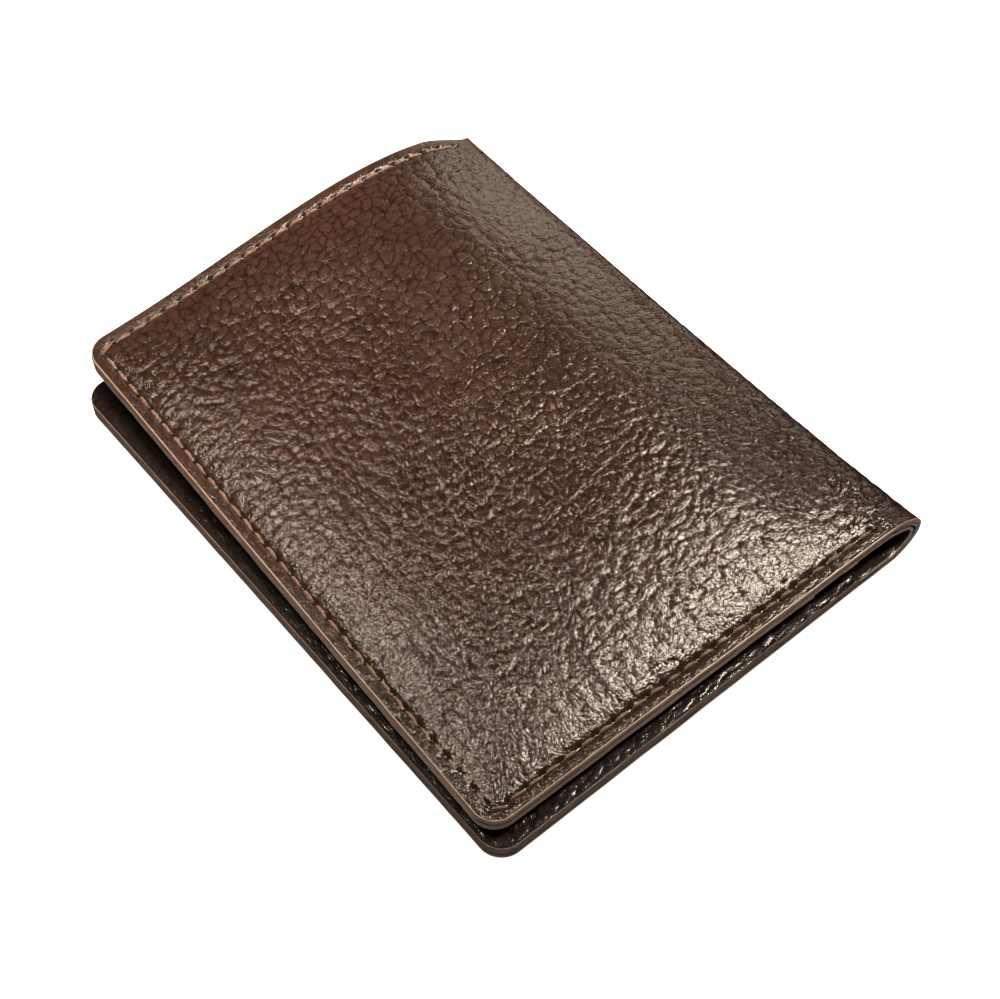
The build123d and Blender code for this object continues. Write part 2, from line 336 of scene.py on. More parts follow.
def sheetPiece(name, place, a, y, thickness, edge, butt=(), coarse=1, relief=None, flip=False, wobble=0.0):
    # closed sheet: outer grid, rounded rim that swells outwards by edge, inner grid thickness below it;
    # a side named in butt is cut flat, where the piece meets the next one
    rows, columns = a.shape
    height, creaseAndShade = relief(a, y) if relief else (np.zeros(a.shape), np.zeros(a.shape))
    outer = place(a, y, -height)
    j, i = loopOf(rows, columns)
    ringA, ringY = a[j, i], y[j, i]
    alongA = np.roll(ringA, -1) - np.roll(ringA, 1)
    alongY = np.roll(ringY, -1) - np.roll(ringY, 1)
    length = np.maximum(np.hypot(alongA, alongY), 1e-9)
    outA, outY = alongY / length, -alongA / length
    columnOf = dict(fold=0, free=columns - 1)
    for side in butt:
        flat = i == columnOf[side]
        outA = np.where(flat, 0, outA)
        outY = np.where(flat, np.where((j > 0) & (j < rows - 1), 0, np.sign(outY)), outY)
    swing = 1 + wobble * ripple(ringA, ringY, 9, 31) / max(edge, 0.01)
    verts, uvs = [outer.reshape(-1, 3)], [np.stack([a, y], -1).reshape(-1, 2)]
    rim, folds = [np.zeros(a.size)], [creaseAndShade.ravel()]
    rings = [j * columns + i]
    count = a.size
    for step in range(1, rimCut["steps"] + 1):
        turn = math.pi / 2 - math.pi * step / (rimCut["steps"] + 1)
        reach = edge * math.cos(turn) ** 0.7 * swing
        depth = thickness * (0.5 - 0.5 * math.sin(turn)) - rimCut["lip"] * max(math.sin(2 * turn), 0)
        run = thickness * step / (rimCut["steps"] + 1)
        verts.append(place(ringA + outA * reach, ringY + outY * reach, depth + 0 * ringA))
        uvs.append(np.stack([ringA + outA * run, ringY + outY * run], -1))
        rim.append(np.ones(len(ringA)))
        folds.append(np.zeros(len(ringA)))
        rings.append(count + np.arange(len(ringA)))
        count += len(ringA)
    under = a[::coarse, ::coarse], y[::coarse, ::coarse]
    verts.append(place(under[0], under[1], thickness + 0 * under[0]).reshape(-1, 3))
    uvs.append(np.stack(under, -1).reshape(-1, 2))
    rim.append(np.zeros(under[0].size))
    folds.append(np.zeros(under[0].size))
    low = count + np.arange(under[0].size).reshape(under[0].shape)
    top = np.arange(a.size).reshape(a.shape)
    faces = np.stack([top[:-1, :-1], top[:-1, 1:], top[1:, 1:], top[1:, :-1]], -1).reshape(-1, 4).tolist()
    faces += np.stack([low[:-1, :-1], low[1:, :-1], low[1:, 1:], low[:-1, 1:]], -1).reshape(-1, 4).tolist()
    joined = np.zeros(len(i), bool)
    for side in butt:
        joined |= (i == columnOf[side]) & (np.roll(i, -1) == columnOf[side])
    walls = [
        np.stack([upper, lower, np.roll(lower, -1), np.roll(upper, -1)], -1)
        for upper, lower in zip(rings[:-1], rings[1:])
    ]
    faces += [face for wall in walls for face in wall[~joined].tolist()]
    flatFaces = [face for wall in walls for face in wall[joined].tolist()]
    jl, il = loopOf(*under[0].shape)
    base = low[jl, il]
    last = rings[-1].reshape(-1, coarse)
    fan = np.concatenate([last, np.roll(rings[-1], -coarse).reshape(-1, coarse)[:, :1]], 1)
    fans = np.concatenate([fan[:, ::-1], base[:, None], np.roll(base, -1)[:, None]], 1)
    joined = joined.reshape(-1, coarse).all(1)
    faces += fans[~joined].tolist()
    flatFaces += fans[joined].tolist()
    faces = flatFaces + faces
    if flip:
        faces = [face[::-1] for face in faces]
    # the crease mark sets the painted shade in the creases
    marks = dict(rim=np.concatenate(rim), creaseAndShade=np.concatenate(folds))
    return meshOf(name, np.concatenate(verts), faces, marks, np.concatenate(uvs), len(flatFaces))


# Materials: one small class wraps a socket, so that shader maths reads as a formula
class Wire:
    def __init__(self, finish, socket):
        self.finish, self.socket = finish, socket

    def math(self, operation, *others, swap=False):
        values = [self, *others]
        if swap:
            values.reverse()
        made = self.finish.node("ShaderNodeMath", dict(operation=operation))
        for socket, value in zip(made.inputs, values):
            self.finish.feed(socket, value)
        return Wire(self.finish, made.outputs[0])

    def __add__(self, other):
        return self.math("ADD", other)

    def __radd__(self, other):
        return self.math("ADD", other)

    def __sub__(self, other):
        return self.math("SUBTRACT", other)

    def __rsub__(self, other):
        return self.math("SUBTRACT", other, swap=True)

    def __mul__(self, other):
        return self.math("MULTIPLY", other)

    def __rmul__(self, other):
        return self.math("MULTIPLY", other)

    def __pow__(self, other):
        return self.math("POWER", other)

    def between(self, low, high):
        # 0 below low, 1 above high, and a cubic between
        made = self.finish.node("ShaderNodeMapRange", dict(interpolation_type="SMOOTHSTEP"), Value=self)
        made.inputs["From Min"].default_value, made.inputs["From Max"].default_value = low, high
        return Wire(self.finish, made.outputs[0])


class Finish:
    # a material and the nodes that it is made of
    def __init__(self, name):
        self.material = bpy.data.materials.new(name)
        self.material.use_nodes = True
        self.tree = self.material.node_tree
        self.tree.nodes.clear()

    def feed(self, socket, value):
        # a link or a fixed value
        if isinstance(value, Wire):
            self.tree.links.new(value.socket, socket)
        else:
            socket.default_value = value

    def node(self, kind, settings=None, **sockets):
        # any node: its settings first, then its sockets by name
        made = self.tree.nodes.new(kind)
        for key, value in (settings or {}).items():
            setattr(made, key, value)
        for key, value in sockets.items():
            self.feed(made.inputs[key.replace("_", " ")], value)
        return made

    def out(self, made, name=0):
        return Wire(self, made.outputs[name])

    def unrolled(self):
        # metres along and across the flat leather or cloth
        return self.out(self.node("ShaderNodeUVMap", dict(uv_map="unrolled")), "UV")

    def spot(self):
        return self.out(self.node("ShaderNodeTexCoord"), "Object")

    def mark(self, name):
        # a number kept at each point of the mesh: rim, or crease depth for the painted shade
        return self.out(self.node("ShaderNodeAttribute", dict(attribute_name=name)), "Fac")

    def noise(self, where, scale, detail=2.0, roughness=0.5):
        values = dict(Vector=where, Scale=scale, Detail=detail, Roughness=roughness)
        return self.out(self.node("ShaderNodeTexNoise", None, **values))

    def cells(self, where, scale, feature="F1"):
        settings = dict(feature=feature, voronoi_dimensions="2D")
        return self.out(self.node("ShaderNodeTexVoronoi", settings, Vector=where, Scale=scale), "Distance")

    def bent(self, where, scale, amount):
        # coordinates pushed about by a noise, so that a pattern of cells loses its regularity
        made = self.node("ShaderNodeTexNoise", None, Vector=where, Scale=scale, Detail=2.0)
        push = self.node("ShaderNodeVectorMath", dict(operation="MULTIPLY_ADD"))
        for socket, value in zip(push.inputs, (self.out(made, 1), (amount,) * 3, where)):
            self.feed(socket, value)
        return self.out(push)

    def mix(self, share, low, high):
        made = self.node("ShaderNodeMix", dict(data_type="RGBA"))
        # the colour sockets of a Mix node stand after those for numbers and vectors
        for number, value in ((0, share), (6, low), (7, high)):
            self.feed(made.inputs[number], value)
        return self.out(made, 2)

    def stretched(self, where, amounts):
        return self.out(self.node("ShaderNodeMapping", None, Vector=where, Scale=amounts))

    def bump(self, height, distance, strength=1.0):
        return self.out(self.node("ShaderNodeBump", None, Height=height, Distance=distance, Strength=strength))

    def surface(self, **sockets):
        made = self.node("ShaderNodeBsdfPrincipled", None, **sockets)
        end = self.node("ShaderNodeOutputMaterial")
        self.tree.links.new(made.outputs[0], end.inputs["Surface"])
        return self.material


def rgb(red, green, blue):
    return (red, green, blue, 1.0)


# the first colour is the painted shade of creases and hollows; line is a lighter paint bead, partly worn paint
# and partly a painted highlight
leatherLook = dict(
    paintedShade=rgb(0.005, 0.0021, 0.0012),
    body=rgb(0.021, 0.0099, 0.0063),
    worn=rgb(0.037, 0.018, 0.0115),
    line=rgb(0.32, 0.2, 0.14),
    paint=rgb(0.16, 0.095, 0.062),
    paintDark=rgb(0.085, 0.05, 0.035),
)


# Scales of the patterns in the leather, in cells or waves to the metre
patterns = dict(
    cloud=45, blotch=320, tiny=4600, pores=7000,
    bend=420, bendAmount=0.0009,    # how pebble borders wander, in metres
    wrinkle=3.2,                    # wrinkles to a pebble
    streak=(300, 300, 2600),        # fine layers along a cut edge
)
micrometre = 0.000001


def leatherFinish(name, look, gloss, pebble, depths):
    # grained leather with a painted cut edge: painted shade darkens the creases, pebble borders and wrinkle
    # hollows, and the tone wanders at random between body and worn;
    # depths are those of pebble borders, wrinkles, tiny cells and pores, in micrometres
    f = Finish(name)
    uv = f.unrolled()
    rim, creaseAndShade = f.mark("rim"), f.mark("creaseAndShade")
    cloud = f.noise(uv, patterns["cloud"], 3)
    blotch = f.noise(uv, patterns["blotch"], 3, 0.6)
    bent = f.bent(uv, patterns["bend"], patterns["bendAmount"])
    border = f.cells(bent, pebble, "DISTANCE_TO_EDGE").between(0.0, 0.16)
    wrinkle = f.cells(bent, pebble * patterns["wrinkle"])
    tiny = f.cells(uv, patterns["tiny"])
    pores = f.noise(uv, patterns["pores"], 2, 0.7)
    tone = (cloud * 0.55 + blotch * 0.65 - 0.1).between(0.2, 0.8)
    colour = f.mix(tone, look["body"], look["worn"])
    # painted shade: creases, pebble borders and the hollows of the wrinkles are mixed towards the shade colour
    colour = f.mix(creaseAndShade * 0.9 + (1 - border) * 0.15, colour, look["paintedShade"])
    colour = f.mix(wrinkle.between(0.3, 0.75) * 0.3, colour, look["paintedShade"])
    streak = f.noise(f.stretched(f.spot(), patterns["streak"]), 1, 3, 0.6)
    paint = f.mix(streak.between(0.3, 0.75), look["paintDark"], look["paint"])
    # lighter line along the paint bead, where the rim is half way round: partly worn paint, partly a painted
    # highlight
    paint = f.mix((rim * (1 - rim) * 4).between(0.3, 1.0), paint, look["line"])
    colour = f.mix(rim.between(0.02, 0.5), colour, paint)
    rough = (gloss + (1 - pores) * 0.1) * (1 - rim) + rim * (0.36 + 0.2 * streak)
    fine = border * depths[0] - wrinkle ** 2 * depths[1] - tiny ** 2 * depths[2] + pores * depths[3]
    lines = f.bump(fine * (1 - rim) + streak * rim * 60, micrometre)
    return f.surface(
        Base_Color=colour, Roughness=rough, Normal=lines,
        IOR=1.5, Specular_IOR_Level=0.7, Specular_Tint=rgb(1.0, 0.9, 0.8),
    )


# Gloss, pebbles to the metre and depths, for leatherFinish
grainLook = (0.11, 700, (18, 42, 26, 15))
glossyLook = (0.12, 800, (6, 24, 12, 8))
outerFinish = leatherFinish("pebbled leather", leatherLook, *grainLook)
# darker edge paint and bead line for the lower cover's outer and inner leather: painted shade under the upper
# cover
lowerEdgeShade = dict(paint=rgb(0.12, 0.078, 0.056), paintDark=rgb(0.055, 0.035, 0.026), line=rgb(0.26, 0.17, 0.12))
lowerFinish = leatherFinish("pebbled leather, lower cover", leatherLook | lowerEdgeShade, *grainLook)
# as above: a colour for the painted shade of creases and hollows, and a bead line that is partly worn paint and
# partly a painted highlight
innerLook = dict(
    line=rgb(0.42, 0.28, 0.2),
    paintedShade=rgb(0.003, 0.002, 0.0018),
    body=rgb(0.009, 0.006, 0.005),
    worn=rgb(0.02, 0.013, 0.010),
    paint=rgb(0.2, 0.12, 0.08),
    paintDark=rgb(0.11, 0.07, 0.052),
)
innerFinish = leatherFinish("glossy inner leather", innerLook, *glossyLook)
innerLower = leatherFinish("glossy inner leather, lower cover", innerLook | lowerEdgeShade, *glossyLook)


def threadFinish():
    # brown waxed thread with paler flecks
    f = Finish("waxed thread")
    fleck = f.noise(f.spot(), 3000, 2)
    colour = f.mix(fleck.between(0.25, 0.75), rgb(0.06, 0.026, 0.013), rgb(0.22, 0.115, 0.068))
    lines = f.bump(f.noise(f.spot(), 9000, 2), 0.00003, 0.6)
    return f.surface(Base_Color=colour, Roughness=0.5, Normal=lines, Sheen_Weight=0.2)


def liningFinish():
    # twill: diagonal ribs over a fine weft
    f = Finish("twill lining")
    uv = f.unrolled()
    rib = f.node("ShaderNodeTexWave", dict(bands_direction="DIAGONAL"), Vector=uv, Scale=900.0, Distortion=0.6)
    weft = f.node("ShaderNodeTexWave", dict(bands_direction="X"), Vector=uv, Scale=1300.0, Distortion=0.4)
    ribs = f.out(rib, "Fac") * 0.7 + f.out(weft, "Fac") * 0.3
    colour = f.mix(ribs, rgb(0.012, 0.017, 0.018), rgb(0.05, 0.06, 0.06))
    return f.surface(Base_Color=colour, Roughness=0.8, Normal=f.bump(ribs, 0.00008, 0.7), Sheen_Weight=0.3)


def foamFinish():
    # open cells, with painted shade in their middles, the pits
    f = Finish("foam padding")
    holes = f.cells(f.spot(), 1800)
    colour = f.mix(holes, rgb(0.28, 0.25, 0.21), rgb(0.5, 0.47, 0.42))
    return f.surface(Base_Color=colour, Roughness=0.9, Normal=f.bump(holes, 0.0002, 0.7))


def filmFinish():
    # thin clear film, a little hazy and uneven
    f = Finish("clear film")
    haze = f.noise(f.spot(), 60, 3)
    return f.surface(
        Base_Color=rgb(0.92, 0.94, 0.94), Roughness=0.06 + haze * 0.08, Alpha=0.22 + haze * 0.1,
        Normal=f.bump(haze, 0.0004, 0.3),
    )


threadLook, liningLook, foamLook, filmLook = threadFinish(), liningFinish(), foamFinish(), filmFinish()
print("materials made")


def dress(piece, finish, slot):
    # gives a piece its material; the slot is not used
    piece.data.materials.append(finish)
    return piece


# Axis, anchor and keep of the plane behind the front cover's outer ply, towards which it would settle as the
# wallet opens.
tilt = math.atan2(frontHigh[2] - foldTop - marginZ, frontSide["reach"])
settle = dict(
    axis=(math.sin(tilt), 0, math.cos(tilt)),
    anchor=(foldX * mm, 0, (foldTop - plies["innerTop"]) * mm),
    keep=0.3,
)


def settled(piece):
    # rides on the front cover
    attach(piece, "front_cover")
    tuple(settle["axis"])
    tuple(settle["anchor"])
    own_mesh(piece)
    return piece


# Stitching: bowed threads sunk between needle holes, one saddle stitch after another
seam = dict(
    inset=2.3, start=3.2, pitch=3.2, long=2.3,          # line of the seam and length of a stitch
    radius=0.24, slant=0.09, sunk=0.14, bow=0.5,        # thread, and how deep its middle and ends lie
    twist=4.2, strands=0.22, squash=0.85,               # turn and bulge of its two strands, and its flatness
    hole=0.4, holeDepth=0.5, bed=0.3, bedDepth=0.25,    # marks in the leather
)


def seamPath(side):
    # straight runs and quarter turns at a constant inset, as dense points with their arc length
    r = cut["cornerRadius"] - seam["inset"]
    low, high = side["near"] + seam["inset"], side["far"] - seam["inset"]
    free = side["reach"] - seam["inset"]
    turn = np.linspace(0, math.pi / 2, 12)
    run = np.linspace(0, 1, 200)[:, None]
    path = np.concatenate([
        np.array([seam["start"], low]) + run * np.array([free - r - seam["start"], 0]),
        np.stack([free - r + r * np.sin(turn), low + r - r * np.cos(turn)], 1)[1:],
        (np.array([free, low + r]) + run * np.array([0, high - low - 2 * r]))[1:],
        np.stack([free - r + r * np.cos(turn), high - r + r * np.sin(turn)], 1)[1:],
        (np.array([free - r, high]) + run * np.array([seam["start"] - free + r, 0]))[1:],
    ])
    length = np.concatenate([[0], np.cumsum(np.hypot(*np.diff(path, axis=0).T))])
    return path, length


def stitchSpots(side):
    # middle and direction of each stitch along the seam
    path, length = seamPath(side)
    count = round(length[-1] / seam["pitch"])
    middle = (np.arange(count) + 0.5) / count * length[-1]
    at, ahead, behind = (
        np.stack([np.interp(middle + shift, length, path[:, k]) for k in (0, 1)], 1)
        for shift in (0, 0.8, -0.8)
    )
    way = ahead - behind
    return at, way / np.linalg.norm(way, axis=1)[:, None]


def stitchMarks(a, y, side):
    # needle holes (first) and the beds that the threads press into the leather (second), from 0 to 1
    at, way = stitchSpots(side)
    holes, beds = np.zeros(a.shape), np.zeros(a.shape)
    close = np.abs(seamRoom(a, y, side, seam["inset"])) < seam["pitch"] / 2
    points = np.stack([a[close], y[close]], 1)
    hole, bed = np.full(len(points), np.inf), np.full(len(points), np.inf)
    for spot, ahead in zip(at, way):
        offset = points - spot
        along = offset @ ahead
        half = seam["long"] / 2
        past = along - np.clip(along, -half, half)
        across = offset[:, 0] * ahead[1] - offset[:, 1] * ahead[0]
        bed = np.minimum(bed, np.hypot(past, across))
        hole = np.minimum(hole, np.hypot(np.abs(along) - seam["pitch"] / 2 + 0.1, across))
    holes[close] = np.exp(-(hole / seam["hole"]) ** 2)
    beds[close] = np.exp(-(bed / seam["bed"]) ** 2)
    return holes, beds


# Wrinkles of the leather: distance from one to the next, size, and how far in they run
wrinkles = dict(pitch=4.2, height=0.13, width=0.2, reach=30.0)
calmAtFold = 0.9        # share of the grain that is left on the bend of the fold


def drawn(a, y, side):
    # soft wrinkles that run in from the near edge, where the leather is drawn over the padding
    room = y - side["near"]
    wander = 1.1 * ripple(a, y, 15, 41) + 0.35 * ripple(a, y, 5, 42) + 0.12 * room
    offset = np.abs(np.mod((a + wander) / wrinkles["pitch"], 1) - 0.5)
    ridge = np.exp(-(offset / wrinkles["width"]) ** 2)
    strength = smooth(2.5, 8, room) * (1 - smooth(10, wrinkles["reach"], room)) * smooth(6, 18, a)
    return wrinkles["height"] * ridge * strength * (0.75 + 0.5 * ripple(a, y, 18, 43))


def coverRelief(side):
    # grain, calmer on the stitched margin and near the fold, with the marks of the stitching and painted shade
    # in the creases and needle holes
    def relief(a, y):
        height, creaseAndShade = grain(a, y, outerGrain)
        room = seamRoom(a, y, side, 0)
        margin = 0.4 + 0.6 * smooth(2.0, 4.5, room)
        fold = calmAtFold + (1 - calmAtFold) * smooth(1, 22, a)
        edge = smooth(0.0, 1.0, room)
        holes, beds = stitchMarks(a, y, side)
        height = height * margin * fold * edge * (1 - holes) + drawn(a, y, side)
        height = height - seam["holeDepth"] * holes - seam["bedDepth"] * beds
        # needle holes count as deep creases, so the painted shade darkens them too
        return height, np.maximum(creaseAndShade * margin * edge * (0.5 + 0.5 * fold), holes * 1.3)

    return relief


def threadPiece(name, at, way, place, sign, depth=0.0, sides=8):
    # two strands twisted round each other, bowed from needle hole to needle hole
    draw = np.random.default_rng(5)
    slant = seam["slant"] + draw.normal(0, 0.05, len(at))
    cosine, sine = np.cos(slant), np.sin(slant)
    turned = np.stack([way[:, 0] * cosine - way[:, 1] * sine, way[:, 0] * sine + way[:, 1] * cosine], 1)
    along = np.linspace(-1, 1, 9)
    half = seam["long"] / 2 * (1 + draw.normal(0, 0.04, len(at)))
    flat = at[:, None, :] + turned[:, None, :] * along[None, :, None] * half[:, None, None]
    sunk = depth + seam["sunk"] + seam["bow"] * np.abs(along) ** 3
    line = place(flat[..., 0], flat[..., 1], sunk + 0 * flat[..., 0])
    forward = np.gradient(line, axis=1)
    forward /= np.linalg.norm(forward, axis=2, keepdims=True)
    across = np.cross([0, 0, float(sign)], forward)
    across /= np.linalg.norm(across, axis=2, keepdims=True)
    lift = np.cross(forward, across)
    angle = np.arange(sides) / sides * 2 * math.pi
    twisted = angle[None, :] - along[:, None] * seam["twist"]
    thick = seam["radius"] * (1 + seam["strands"] * np.cos(2 * twisted))
    ring = across[:, :, None, :] * (np.cos(angle) * thick)[None, :, :, None]
    ring = ring + lift[:, :, None, :] * (np.sin(angle) * thick * seam["squash"])[None, :, :, None]
    verts = (line[:, :, None, :] + ring).reshape(-1, 3)
    index = np.arange(len(verts)).reshape(len(at), len(along), sides)
    around = np.roll(index, -1, 2)
    quads = np.stack([index[:, :-1], around[:, :-1], around[:, 1:], index[:, 1:]], -1).reshape(-1, 4).tolist()
    caps = index[:, 0, ::-1].tolist() + index[:, -1].tolist()
    return meshOf(name, verts, quads + caps)


def gridFor(side, start, step, edge, radius=None, multiple=1):
    # a grid over a cover, whose rows and columns fit a step and divide evenly for a coarser inner face
    radius = cut["cornerRadius"] if radius is None else radius
    nA = int(round((side["reach"] - start) / step / multiple)) * multiple
    nArc = max(2, int(round(radius * 1.6 / step)))
    nY = int(round((side["far"] - side["near"] - 2 * radius) / step))
    nY += (-(nY + 2 * nArc)) % multiple
    return coverOutline(side, start, radius, edge, nA, nArc, nY)


# Outer leather of both covers
hide = dict(step=0.34, coarse=3, edge=0.35)


def hidePiece(name, side, place, flip):
    # outer leather of one cover, sewn and painted at its three free edges
    a, y = gridFor(side, 0, hide["step"], hide["edge"], multiple=hide["coarse"])
    piece = sheetPiece(
        name, place, a, y, plies["leather"], hide["edge"], butt=("fold",), coarse=hide["coarse"],
        relief=coverRelief(side), wobble=0.05, flip=flip,
    )
    return dress(piece, outerFinish if flip else lowerFinish, "outer_leather")


leatherFront = settled(hidePiece("leather_front", frontSide, placeFrontOuter, True))
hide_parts("outer_leather_front")
leatherBack = hidePiece("leather_back", backSide, placeBackOuter, False)
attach(leatherBack, "back_cover")
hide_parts("outer_leather_back")
print("outer leather of the covers made")

# The fold: each ply in two halves, an upper and a lower one
foldLong = math.pi * foldRadius
liningLift = 0.02       # gap between the leather and the lining


def foldHalf(name, upper, outer, depth, thickness, step, edge, relief=None):
    # half of a ply of the fold, depth below the outer face
    nA = int(round(foldLong / 2 / step))
    nY = int(round((frontSide["far"] - frontSide["near"]) / step))
    run = 0.5 * np.linspace(1, 0, nA + 1) ** 1.6     # closest rows where the fold meets a cover
    around = -run if upper else (run - 1)[::-1]
    rows = np.linspace(frontSide["near"] + edge, frontSide["far"] - edge, nY + 1)
    a = np.repeat(around[None, :], nY + 1, 0)
    y = np.repeat(rows[:, None], nA + 1, 1)

    def place(u, v, d):
        return foldSection(u, v, d + depth, outer)

    def calm(u, v):
        height, creaseAndShade = grain(u * foldLong, v, relief)
        room = np.minimum(v - frontSide["near"], frontSide["far"] - v)
        share = (0.4 + 0.6 * smooth(2.0, 4.5, room)) * calmAtFold * smooth(0, 1, room)
        # the crease mark, and with it the painted shade, is stronger round the fold
        return height * share, creaseAndShade * share * 1.6

    piece = sheetPiece(
        name, place, a, y, thickness, edge, butt=("fold", "free"), relief=calm if relief else None, flip=True
    )
    # its pattern runs round the fold at full size
    uv = piece.data.uv_layers["unrolled"]
    flat = np.zeros(len(uv.data) * 2, np.float32)
    uv.data.foreach_get("uv", flat)
    flat[::2] *= foldLong
    uv.data.foreach_set("uv", flat)
    inset = 0 if outer else innerSetback
    ends = [
        (foldX - inset, 0, marginZ + depth),
        (foldX - inset + foldRadius - depth, 0, (marginZ + foldTop) / 2),
        (foldX - inset, 0, foldTop - depth),
    ]
    start, end = ends[1:] if upper else ends[:2]
    [v * mm for v in start]
    [v * mm for v in end]
    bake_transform(piece)
    return piece


# name, which side of the padding, depth, thickness, step of the grid, edge, grain, material, slot, CAD node
foldPlies = (
    ("leather_fold", True, 0, plies["leather"], 0.3, 0.35, outerGrain, outerFinish,
     "outer_leather", "outer_leather_spine"),
    ("inner_fold", False, plies["innerTop"], plies["inner"], 0.5, 0.2, innerGrain, innerFinish,
     "inner_leather", "inner_leather_spine"),
    ("lining_fold", True, plies["leather"] + liningLift, plies["lining"], 0.8, 0.05, None, liningLook,
     "woven_lining", "bill_lining_spine"),
)
folds = {}
for label, outer, depth, thickness, step, edge, relief, finish, slot, node in foldPlies:
    for half in ("upper", "lower"):
        name = f"{label}_{half}"
        folds[name] = foldHalf(name, half == "upper", outer, depth, thickness, step, edge, relief)
        dress(folds[name], finish, slot)
    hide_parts(node)
print("fold made")

# Threads of both covers
threadFront = threadPiece("thread_front", *stitchSpots(frontSide), placeFrontOuter, 1)
settled(dress(threadFront, threadLook, "thread"))
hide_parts("stitching_front")
threadBack = threadPiece("thread_back", *stitchSpots(backSide), placeBackOuter, -1)
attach(dress(threadBack, threadLook, "thread"), "back_cover")
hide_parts("stitching_back")

# Bill lining and padding, inside each cover
liningCut = dict(edge=0.25, step=1.2, rim=0.05)
padCut = dict(inset=3.6, start=3.0, radius=3.0, step=1.2, clearance=0.03, least=0.05, edge=0.05)


def padSide(side):
    # the padded area, inside the seam
    inset = padCut["inset"]
    return dict(reach=side["reach"] - inset, near=side["near"] + inset, far=side["far"] - inset)


def placeFrontPad(a, y, depth):
    # foam under the swell: depth runs from 0 at the leather to 1 at the lining
    x, v = frontPlan(a, y)
    room = lie["puff"] * swellOf(a, y, frontSide, lie["puffRun"]) - seamGroove(a, y, frontSide)
    foam = np.clip(room - 2 * padCut["clearance"], padCut["least"], None)
    z = frontHeight(a, y, True) - plies["leather"] + foam * (1 - depth) + padCut["clearance"]
    return np.stack([x, v, z], -1)


def placeBackPad(a, y, depth):
    # the same upside down, in the back cover
    room = marginZ * swellOf(a, y, backSide, lie["backRun"]) - seamGroove(a, y, backSide)
    foam = np.clip(room - 2 * padCut["clearance"], padCut["least"], None)
    z = marginZ + plies["leather"] - foam * (1 - depth) - padCut["clearance"]
    return np.stack([foldX - a, y + 0 * a, z], -1)


for label, side, padPlace, liningPlace, atFold in (
    ("front", frontSide, placeFrontPad, placeFrontLining, folds["lining_fold_upper"]),
    ("back", backSide, placeBackPad, placeBackInner, folds["lining_fold_lower"]),
):
    a, y = gridFor(padSide(side), padCut["start"], padCut["step"], padCut["edge"], padCut["radius"])
    pad = sheetPiece(f"padding_{label}_foam", padPlace, a, y, 1.0, padCut["edge"], flip=label == "front")
    dress(pad, foamLook, "foam_padding")
    a, y = gridFor(side, 0, liningCut["step"], liningCut["edge"])

    def placed(u, v, d, liningPlace=liningPlace):
        return liningPlace(u, v, plies["leather"] + liningLift + d)

    lining = sheetPiece(
        f"lining_{label}", placed, a, y, plies["lining"], liningCut["rim"], flip=label == "front"
    )
    dress(lining, liningLook, "woven_lining")
    side["reach"] * mm
    (side["far"] - side["near"]) * mm
    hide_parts(f"padding_{label}")
    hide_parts(f"bill_lining_{label}")
    for piece in (pad, lining):
        if label == "front":
            settled(piece)
        else:
            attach(piece, "back_cover")
print("lining and padding made")

# Inner leather and card pockets of both covers
innerCut = dict(step=0.7, edge=0.22)
pocketCut = dict(step=0.6, topStep=0.4, inset=0.2, edge=0.18)


def innerRelief(side):
    # grain that fades out at the cut edges
    def relief(a, y):
        height, creaseAndShade = grain(a, y, innerGrain)
        fade = smooth(0, 0.8, seamRoom(a, y, side, 0))
        return height * fade, creaseAndShade * fade

    return relief


def lowered(place, level, thickness, hemAt=None):
    # a ply that hangs below another: its good face is towards the middle of the wallet
    def placed(u, v, d):
        lift = 0
        if hemAt is not None:
            past = u - hemAt
            hem = smooth(-0.3, 0.25, past) * (1 - smooth(cut["hemWidth"] - 0.5, cut["hemWidth"] + 0.3, past))
            lift = plies["hem"] * hem * (1 - d / thickness)
        return place(u, v, level + thickness - d + lift)

    return placed


for label, side, place, pockets in (
    ("back", backSide, placeBackInner, 3),
    ("front", frontSide, placeFrontInner, 2),
):
    faceUp = label == "back"
    a, y = gridFor(side, innerSetback, innerCut["step"], innerCut["edge"])
    stack = [sheetPiece(
        f"inner_{label}", lowered(place, plies["innerTop"], plies["inner"]), a, y,
        plies["inner"], innerCut["edge"], butt=("fold",), relief=innerRelief(side), wobble=0.08, flip=faceUp,
    )]
    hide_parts(f"inner_leather_{label}")
    for number in range(pockets):
        mouth = cut["firstMouth"] + number * cut["mouthStep"]
        level = plies["innerTop"] + plies["inner"] + number * plies["pocket"]
        step = pocketCut["topStep"] if number == pockets - 1 else pocketCut["step"]
        a, y = gridFor(side, mouth, step, pocketCut["inset"])
        pocket = sheetPiece(
            f"pocket_{label}_{number + 1}", lowered(place, level, plies["pocket"], mouth), a, y,
            plies["pocket"], pocketCut["edge"], relief=innerRelief(side), wobble=0.1, flip=faceUp,
        )
        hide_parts(f"card_pocket_{label}_{number + 1}")
        stack.append(pocket)
    for piece in stack:
        dress(piece, innerLower if faceUp else innerFinish, "inner_leather")
        if faceUp:
            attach(piece, "back_cover")
        else:
            settled(piece)
print("pockets made")

